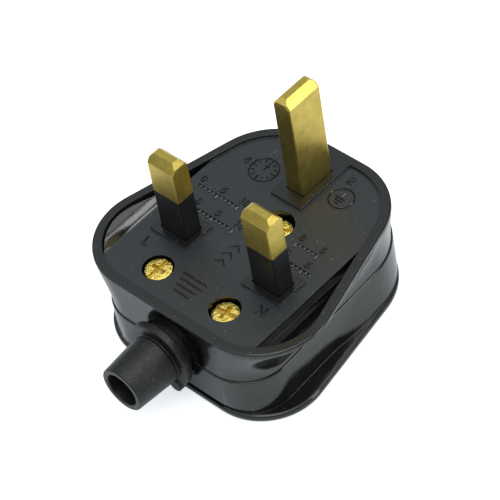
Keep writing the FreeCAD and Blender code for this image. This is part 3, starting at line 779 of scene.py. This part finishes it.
def run_tree(tree, mesh, values, name):
    """Plain mesh of a tree run on a mesh, with its inputs set by name."""
    holder = link(bpy.data.objects.new(name + "_holder", mesh))
    modifier = holder.modifiers.new("nodes", "NODES")
    modifier.node_group = tree
    for key, value in values.items():
        modifier[socket_of(tree, key)] = value
    return plain_mesh(holder, name)


piece_turner = turned_tree()


def turned_piece(section, corner, corner_steps, steps, material, name):
    """Piece spun round Z from a section in metres, with its faces outwards."""
    piece = run_tree(piece_turner, half_section(section, name),
                     {"Steps Around": steps, "Corner Steps": corner_steps,
                      "Corner Radius": corner, "Material": material}, name)
    flip_if_inside_out(piece.data)
    return piece


print("tree:", piece_turner.name)

# %% [markdown]
# The cord guard is one soft moulding: a tapered tube that carries the cord, a shallow
# groove, a ring that stops against the housing, and a flange trapped inside. Turning it here
# lets every corner be soft, which is how a flexible moulding leaves its mould. The small lug
# under the ring keeps it from turning.

# %% Cord guard
GUARD_SECTION = [  # radius and distance out from the wall's middle, both in mm
    (3.35, 29.1), (4.55, 29.1), (5.15, 20.25), (4.78, 20.1), (4.78, 19.7), (6.9, 19.7), (6.9, 18.1),
    (5.5, 18.1), (5.5, 14.45), (6.45, 14.45), (6.45, 12.65), (3.35, 12.65)]


def turned_in_mm(section, corner, steps, name):
    """Guard plastic turned round the cord's axis, along Y at the parting line, in mm."""
    piece = turned_piece([(r * MM, y * MM) for r, y in section], corner * MM, 6, steps,
                         guard_black, name)
    lying = Matrix.Rotation(math.radians(90), 4, "X")
    piece.data.transform(Matrix.Translation((0, 0, parting_z)) @ lying)
    return piece


guard = turned_in_mm(GUARD_SECTION, 0.32, 128, "guard_sleeve")
lug = turned_in_mm([(0, 18.3), (1.4, 18.3), (1.4, 20.1), (0, 20.1)], 0.25, 40, "guard_lug")
LUG_OFFSET = 6.2 * MM
LUG_ANGLE = math.radians(-58)
lug_way = Vector((math.cos(LUG_ANGLE), 0, math.sin(LUG_ANGLE)))
lug.data.transform(Matrix.Translation(lug_way * LUG_OFFSET))
moulding = bmesh.new()
for piece in (guard, lug):
    moulding.from_mesh(piece.data)
moulding.to_mesh(guard.data)
moulding.free()
bpy.data.objects.remove(lug)
print("guard faces with its lug:", len(guard.data.polygons))

# %% Ride the guard and stand it for its solid
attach(guard, BODY)
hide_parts("cord_guard")

# %% [markdown]
# ## Screws with slots, crosses and threads
# The three screws seen in the face are cheese head screws, turned as a blank, then stamped
# with a slot that crosses a shorter recess, so both kinds of driver fit. One tree does the
# same: it spins the blank, cuts the recess with a boolean, and winds a thin ridge round the
# shank as the thread. Only the sizes, the turn of the slot and the place differ.

# %% Tree that makes a screw
SCREW_INPUTS = TURNED_INPUTS + [
    ("Slot Width", FLOAT), ("Slot Depth", FLOAT), ("Slot Length", FLOAT), ("Cross Reach", FLOAT),
    ("Head Height", FLOAT), ("Turn", FLOAT), ("Thread Pitch", FLOAT), ("Thread Length", FLOAT),
    ("Thread Radius", FLOAT), ("Recess Shade Material", MATERIAL)]
CROSS_DEEPER = 1.3
POCKET_WIDER = 1.15
POCKET_SINK = 1.4
THREAD_THICK = 0.33


def recess(tree, given):
    """Slot, short cross arm and a centre pocket, as one cutter at the top of the head."""
    width = given["Slot Width"]
    depth, reach = (times(tree, given[half], 2.0) for half in ("Slot Depth", "Cross Reach"))
    slot = geo(tree, "MeshCube", {"Size": xyz(tree, given["Slot Length"], width, depth)})
    cross_depth = times(tree, depth, CROSS_DEEPER)
    cross = geo(tree, "MeshCube", {"Size": xyz(tree, width, reach, cross_depth)})
    radius = times(tree, width, POCKET_WIDER)
    pocket = geo(tree, "MeshCone", {"Vertices": 16, "Radius Top": radius, "Depth": depth,
                                    "Radius Bottom": times(tree, radius, 0.5)})
    sunk = times(tree, given["Slot Depth"], -POCKET_SINK)
    lowered = geo(tree, "Transform", {"Geometry": pocket, "Translation": xyz(tree, z=sunk)})
    cutter = put(tree, "GeometryNodeMeshBoolean", operation="UNION", solver="EXACT")
    for part in (slot, cross, lowered):
        tree.links.new(part, cutter.inputs["Mesh 2"])
    placed = geo(tree, "Transform", {"Geometry": cutter.outputs["Mesh"],
                                     "Translation": xyz(tree, z=given["Head Height"]),
                                     "Rotation": xyz(tree, z=given["Turn"])})
    return geo(tree, "StoreNamedAttribute", {"Geometry": placed, "Name": "recess", "Value": True},
               data_type="BOOLEAN", domain="FACE")


def thread(tree, given):
    """Ridge wound down the shank."""
    pitch, length, radius = (given["Thread " + size] for size in ("Pitch", "Length", "Radius"))
    coil = geo(tree, "CurveSpiral",
               {"Resolution": 28, "Rotations": math_node(tree, "DIVIDE", length, pitch),
                "Start Radius": radius, "End Radius": radius, "Height": length})
    edge = geo(tree, "CurvePrimitiveCircle",
               {"Resolution": 4, "Radius": times(tree, pitch, THREAD_THICK)})
    ridge = geo(tree, "CurveToMesh", {"Curve": coil, "Profile Curve": edge, "Fill Caps": True})
    drop = xyz(tree, z=times(tree, length, -1.0))
    return geo(tree, "Transform", {"Geometry": ridge, "Translation": drop})


def screw_tree():
    tree, given, out = new_tree("stamped_screw", SCREW_INPUTS)
    cut = put(tree, "GeometryNodeMeshBoolean", {"Mesh 1": turned(tree, given, closed=False)},
              operation="DIFFERENCE", solver="EXACT")
    tree.links.new(recess(tree, given), cut.inputs["Mesh 2"])
    both = put(tree, "GeometryNodeJoinGeometry")
    for part in (cut.outputs["Mesh"], thread(tree, given)):
        tree.links.new(part, both.inputs[0])
    whole = geo(tree, "RealizeInstances", {"Geometry": smooth(tree, both.outputs[0], 40)})
    bright = geo(tree, "SetMaterial", {"Geometry": whole, "Material": given["Material"]})
    # The recess faces take the darker brass, as painted shade inside the slot and the cross.
    inside = geo(tree, "InputNamedAttribute", {"Name": "recess"}, data_type="BOOLEAN")
    darker = geo(tree, "SetMaterial", {"Geometry": bright, "Selection": inside,
                                       "Material": given["Recess Shade Material"]})
    tree.links.new(darker, out["Geometry"])
    return tree


screw_maker = screw_tree()
print("tree:", screw_maker.name)

# %% [markdown]
# The blanks are drawn as half sections from the top of the head down to the tip. The seat of
# each head is read from the frame's own screw, so the new one sits exactly in its hole: the
# left grip screw nearly level with the face, the right one deeper.

# %% Three screws
ROOT_CORE = 1.42 * MM
PITCH = 0.6 * MM
THREAD_STANDS = 0.1 * MM
PLAIN_LENGTH = 1.5 * MM
SLOT_WIDTH = 0.8 * MM
SLOT_DEPTH = 0.7 * MM
CROSS_REACH = 1.55 * MM


def screw_section(head_radius, head_height, core, length):
    """Half section of a cheese head screw with a crowned head and a chamfered tip."""
    dome = 0.12 * MM
    edge = 0.3 * MM
    return [(0, head_height), (head_radius * 0.45, head_height - 0.15 * dome),
            (head_radius * 0.75, head_height - 0.5 * dome),
            (head_radius - edge, head_height - dome),
            (head_radius - 0.3 * edge, head_height - dome - 0.3 * edge),
            (head_radius, head_height - dome - edge),
            (head_radius, 0.1 * MM), (head_radius - 0.1 * MM, 0), (core, 0),
            (core, -length + 0.4 * MM), (core - 0.4 * MM, -length), (0, -length)]


def make_screw(node, name, head_height, turn):
    """Screw in place of the frame's plain one, with its slot turned by an angle in degrees."""
    low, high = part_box(node)
    head_radius = (high.x - low.x) / 2
    seat_z = high.z - head_height
    length = seat_z - low.z
    profile = half_section(screw_section(head_radius, head_height, ROOT_CORE, length), name)
    screw = run_tree(screw_maker, profile,
                     {"Steps Around": 64, "Material": screw_brass, "Recess Shade Material": recess_painted_shade_brass,
                      "Slot Width": SLOT_WIDTH, "Slot Depth": SLOT_DEPTH,
                      "Slot Length": 3 * head_radius, "Cross Reach": CROSS_REACH,
                      "Head Height": head_height, "Turn": math.radians(turn),
                      "Thread Pitch": PITCH, "Thread Length": length - PLAIN_LENGTH,
                      "Thread Radius": ROOT_CORE + THREAD_STANDS}, name)
    screw.data.transform(Matrix.Translation(((low.x + high.x) / 2, (low.y + high.y) / 2, seat_z)))
    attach(screw, BODY)
    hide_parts(node)
    return screw


SCREWS = [("left_grip_screw", "grip_screw_stamped_left", 2.0 * MM, 87),
          ("right_grip_screw", "grip_screw_stamped_right", 2.0 * MM, 4),
          ("cover_screw", "cover_screw_stamped", 1.9 * MM, 35)]
for node, name, head_height, turn in SCREWS:
    made = make_screw(node, name, head_height, turn)
    print(made.name, "at", [round(value / MM, 1) for value in made.data.vertices[0].co])

# %% [markdown]
# ## Raised marks on the pin face
# Mould makers cut marks into the steel, so they stand up from the plastic, with slightly
# sloping sides. All the small bars here come from one tree: it puts a tapered bar on every
# point of a mesh, turned and stretched by values stored on the point. Points in a row give a
# strip length gauge, points in a ring give a dial.

# %% Tree for raised bars
BAR_INPUTS = [("Bar Width", FLOAT), ("Bar Length", FLOAT), ("Bar Height", FLOAT),
              ("Draft", FLOAT), ("Material", MATERIAL)]


def bar_tree():
    tree, given, out = new_tree("raised_bars", BAR_INPUTS)
    size = xyz(tree, given["Bar Width"], given["Bar Length"], given["Bar Height"])
    block = geo(tree, "MeshCube", {"Size": size, "Vertices Z": 3})
    spot = axes_of(tree, geo(tree, "InputPosition"))
    upper = put(tree, "FunctionNodeCompare", {0: spot["Z"], 1: 0.0}, operation="GREATER_THAN")
    draft = times(tree, given["Draft"], -1.0)
    inward = [times(tree, math_node(tree, "SIGN", spot[axis]), draft) for axis in ("X", "Y")]
    tapered = geo(tree, "SetPosition", {"Geometry": block, "Selection": upper.outputs[0],
                                        "Offset": xyz(tree, *inward)})
    turn, stretch = (geo(tree, "InputNamedAttribute", {"Name": label}, data_type="FLOAT")
                     for label in ("turn", "stretch"))
    bars = geo(tree, "InstanceOnPoints",
               {"Points": given["Geometry"], "Instance": tapered, "Rotation": xyz(tree, z=turn),
                "Scale": xyz(tree, 1.0, stretch, 1.0)})
    return finish_tree(tree, bars, given["Material"], out)


bar_maker = bar_tree()
MARK_HEIGHT = 0.25 * MM
MARK_SINK = 0.05 * MM
MARK_CHAMFER = 0.1 * MM


def raised_bars(places, width, length, name):
    """Bars at (x, y, turn in degrees, stretch) in mm on the sunk face."""
    mesh = bpy.data.meshes.new(name + "_points")
    mid_z = field_z - MARK_SINK + (MARK_HEIGHT + MARK_SINK) / 2
    mesh.from_pydata([(x * MM, y * MM, mid_z) for x, y, _, _ in places], [], [])
    for label, values in (("turn", [math.radians(turn) for _, _, turn, _ in places]),
                          ("stretch", [stretch for _, _, _, stretch in places])):
        mesh.attributes.new(label, "FLOAT", "POINT").data.foreach_set("value", values)
    bars = run_tree(bar_maker, mesh,
                    {"Bar Width": width * MM, "Bar Length": length * MM,
                     "Bar Height": MARK_HEIGHT + MARK_SINK, "Draft": MARK_CHAMFER,
                     "Material": housing_black}, name)
    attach(bars, BODY)


print("tree:", bar_maker.name)

# %% [markdown]
# The gauges are plain rulers for how much of each core to strip: a tick for every
# millimetre, longer ones at every fifth. The dial is the usual mould date insert, a ring of
# twelve ticks with a pointer. Chevrons point at the cord entry, and four ridges mark the
# cord grip between its screws.

# %% Gauge, dial and ridges
TICK_WIDTH, TICK_LENGTH = 0.24, 0.7
FIGURE_EVERY = 5
LONG_TICK = 1.7


def ruler(x0, y, count):
    """Ticks every millimetre along X that hang down from a line."""
    places = []
    for i in range(count):
        stretch = 1.0 if i % FIGURE_EVERY else LONG_TICK
        places.append((x0 + i, y - TICK_LENGTH / 2 * stretch, 0, stretch))
    places.append((x0 + (count - 1) / 2, y, 90, (count - 1) / TICK_LENGTH))
    return places


def ring_of_ticks(cx, cy, radius, count):
    """Ticks round a ring, each third one longer."""
    places = []
    for i in range(count):
        turn = 360 * i / count
        x, y = radius * math.sin(math.radians(turn)), radius * math.cos(math.radians(turn))
        places.append((cx + x, cy + y, -turn, 1.0 if i % 3 else 1.6))
    return places


RULERS = {"gauge_outer_left": (-16.2, 9.9, 11), "gauge_inner_left": (-13.2, 5.2, 11),
          "gauge_outer_right": (8.2, 9.6, 6), "gauge_inner_right": (8.2, 5.4, 8)}
for name, (x0, y, count) in RULERS.items():
    raised_bars(ruler(x0, y, count), TICK_WIDTH, TICK_LENGTH, name + "_ticks")


def chevrons(x, y, count, pitch):
    """Arrow heads that point at the cord entry, as pairs of slanted bars."""
    return [(x + side * 0.6, y - i * pitch, side * 50, 1.0)
            for i in range(count) for side in (-1, 1)]


raised_bars(chevrons(0.0, 2.4, 3, 2.0), 0.3, 1.7, "cord_way_chevrons")
DIAL_X, DIAL_Y = -8.7, 19.4
dial_places = ring_of_ticks(DIAL_X, DIAL_Y, 2.1, 12)
dial_places += [(DIAL_X, DIAL_Y + 0.5, 0, 2.2), (DIAL_X - 0.25, DIAL_Y + 1.1, -40, 0.9),
                (DIAL_X + 0.25, DIAL_Y + 1.1, 40, 0.9)]
raised_bars(dial_places, 0.22, 0.6, "mould_dial_ticks")
ridge_places = [(-0.6, -7.4 - 1.3 * i, 90, 1.0 - 0.12 * i) for i in range(4)]
raised_bars(ridge_places, 0.45, 6.0, "cord_grip_ridges")
print("marks made of bars")

# %% [markdown]
# Rings and letters finish the marks. The earth sign is a ring with a stem and three bars,
# and the letters beside the pins tell which core goes where. Text starts as a curve, which is
# the easy way to get clean letter shapes, and becomes a mesh before it is placed.

# %% Rings, letters and the earth sign
TEXT_EXTRUDE = 0.02
TEXT_BEVEL = 0.03
TEXT_THINNED = -0.012
LINE_WIDTH = 0.26


def raised_ring(cx, cy, radius, name):
    """Raised ring with sloping sides on the sunk face, centre and radius in mm."""
    half = LINE_WIDTH / 2
    top = half - MARK_CHAMFER / MM
    shoulder = MARK_HEIGHT - MARK_CHAMFER * 1.2
    section = [(radius - half, -MARK_SINK), (radius + half, -MARK_SINK), (radius + half, shoulder),
               (radius + top, MARK_HEIGHT), (radius - top, MARK_HEIGHT), (radius - half, shoulder)]
    ring = turned_piece([(r * MM, z) for r, z in section], 0.01 * MM, 2, 72, housing_black, name)
    ring.data.transform(Matrix.Translation((cx * MM, cy * MM, field_z)))
    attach(ring, BODY)


def raised_text(words, cx, cy, height, name):
    """Raised letters or figures, upright towards the earth pin; centre and height in mm."""
    curve = bpy.data.curves.new(name + "_curve", "FONT")
    curve.body = words
    curve.align_x = curve.align_y = "CENTER"
    curve.extrude = TEXT_EXTRUDE
    curve.bevel_depth = TEXT_BEVEL
    curve.offset = TEXT_THINNED
    curve.materials.append(housing_black)
    letters = plain_mesh(link(bpy.data.objects.new(name + "_text", curve)), name)
    levels = [vert.co.y for vert in letters.data.vertices]
    flat = height * MM / (max(levels) - min(levels))
    deep = (MARK_HEIGHT + MARK_SINK) / (2 * (TEXT_EXTRUDE + TEXT_BEVEL))
    letters.data.transform(Matrix.Diagonal((flat, flat, deep, 1)))
    middle = (MARK_HEIGHT - MARK_SINK) / 2
    letters.data.transform(Matrix.Translation((cx * MM, cy * MM, field_z + middle)))
    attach(letters, BODY)


raised_text("L", -14.3, -6.1, 2.0, "mark_L")
raised_text("N", 13.6, -6.0, 2.0, "mark_N")
raised_text("E", 6.1, 26.6, 1.9, "mark_E")
EARTH_X, EARTH_Y = 7.5, 22.3
raised_ring(EARTH_X, EARTH_Y, 2.4, "earth_ring")
earth_places = [(EARTH_X, EARTH_Y + rise, turn, stretch) for rise, turn, stretch in
                ((0.75, 0, 1.9), (-0.1, 90, 3.2), (-0.75, 90, 2.2), (-1.35, 90, 1.2))]
raised_bars(earth_places, TICK_WIDTH, 0.8, "earth_bars")
raised_ring(DIAL_X, DIAL_Y, 2.85, "mould_dial_ring")
for name, (x0, y, count) in RULERS.items():
    for step in range(0, count, FIGURE_EVERY):
        raised_text(str(step), x0 + step, y + 1.4, 1.6, name + "_" + str(step))
raised_text("4", -12.9, 19.4, 1.6, "cavity_number")
print("letters, rings and figures made")

# %% [markdown]
# ## The floor, the lights and the background
# A matt pale floor lies just under the plug. It also glows softly: to the camera it is a
# plain white page, on which a faint contact shadow stays, and the gloss mirrors a cool white
# table. Three panes of one window stand behind the right shoulder of the plug. They give the
# bright streak in the left pocket and the white facets on the pins' tips. A wide lamp
# overhead fills.

# %% Floor
PAGE_GLOW = 0.6
TABLE_GLOW = 0.17
PAGE_TINT, TABLE_TINT = (0.96, 0.985, 1, 1), (0.78, 0.91, 1, 1)
FLOOR_HALF = 3.0
FLOOR_GAP = 0.02 * MM


def floor_material():
    material, tree, surface = new_material("floor_pale")
    surface.inputs["Base Color"].default_value = (0.8, 0.8, 0.8, 1)
    surface.inputs["Roughness"].default_value = 0.9
    path = put(tree, "ShaderNodeLightPath").outputs
    bounced = math_node(tree, "MAXIMUM", path["Is Glossy Ray"], path["Is Transmission Ray"])
    page = times(tree, path["Is Camera Ray"], PAGE_GLOW)
    table = times(tree, bounced, TABLE_GLOW)
    tint = mix_colour(tree, path["Is Camera Ray"], TABLE_TINT, PAGE_TINT)
    glow = put(tree, "ShaderNodeEmission",
               {"Color": tint, "Strength": math_node(tree, "ADD", page, table)})
    both = put(tree, "ShaderNodeAddShader", {0: surface.outputs[0], 1: glow.outputs[0]})
    tree.links.new(both.outputs[0], tree.nodes["Material Output"].inputs["Surface"])
    return material


corners = [(x * FLOOR_HALF, y * FLOOR_HALF, -FLOOR_GAP)
           for x, y in ((-1, -1), (1, -1), (1, 1), (-1, 1))]
floor_mesh = bpy.data.meshes.new("floor")
floor_mesh.from_pydata(corners, [], [(0, 1, 2, 3)])
floor_mesh.materials.append(floor_material())
floor = link(bpy.data.objects.new("floor", floor_mesh))
print("floor laid")

# %% World and lamps


def studio_world():
    world = bpy.data.worlds.new("studio")
    scene.world = world
    world.use_nodes = True
    tree = world.node_tree
    path = put(tree, "ShaderNodeLightPath").outputs
    page = put(tree, "ShaderNodeBackground", {"Color": (1, 1, 1, 1), "Strength": 1.0})
    aim = axes_of(tree, put(tree, "ShaderNodeTexCoord").outputs["Generated"])
    ceiling = between(tree, aim["Z"], 0.12, 1.05, 0.1, 0.7, "SMOOTHSTEP")
    front = between(tree, aim["Y"], 1.2, 0.6, -0.7, 0.7)
    level = times(tree, ceiling, front)
    room = put(tree, "ShaderNodeBackground", {"Color": (0.90, 0.97, 1.0, 1), "Strength": level})
    choice = put(tree, "ShaderNodeMixShader",
                 {0: path["Is Camera Ray"], 1: room.outputs[0], 2: page.outputs[0]})
    tree.links.new(choice.outputs[0], tree.nodes["World Output"].inputs["Surface"])


def strip_lamp(name, first, last, distance, width, watts):
    """Area lamp that fills the sky from one direction to another, seen from the plug."""
    ends = [Vector(direction).normalized() * distance for direction in (first, last)]
    middle = (ends[0] + ends[1]) / 2
    along = (ends[1] - ends[0]).normalized()
    away = middle.normalized()
    lamp = bpy.data.lights.new(name, "AREA")
    lamp.shape = "RECTANGLE"
    lamp.size = width
    lamp.size_y = (ends[1] - ends[0]).length
    lamp.energy = watts
    obj = link(bpy.data.objects.new(name, lamp))
    turn = Matrix((along.cross(away), along, away)).transposed().to_4x4()
    obj.matrix_world = Matrix.Translation(middle) @ turn


studio_world()
strip_lamp("window_top_pane", (-0.2, 0.43, 0.88), (0.14, 0.43, 0.89), 0.6, 0.12, 0.13)
strip_lamp("window_upper_pane", (0.22, 0.43, 0.88), (0.38, 0.43, 0.82), 0.6, 0.12, 0.23)
strip_lamp("window_lower_pane", (0.68, 0.45, 0.58), (0.89, 0.42, 0.18), 0.6, 0.14, 0.7)
strip_lamp("ceiling", (0.35, -0.50, 0.80), (0.05, 0.28, 0.96), 0.9, 0.50, 2.5)
print("lamps set")

# %% [markdown]
# ## Finish
# The scene keeps to the standard view.

# %% Standard view
scene.view_settings.view_transform = "Standard"
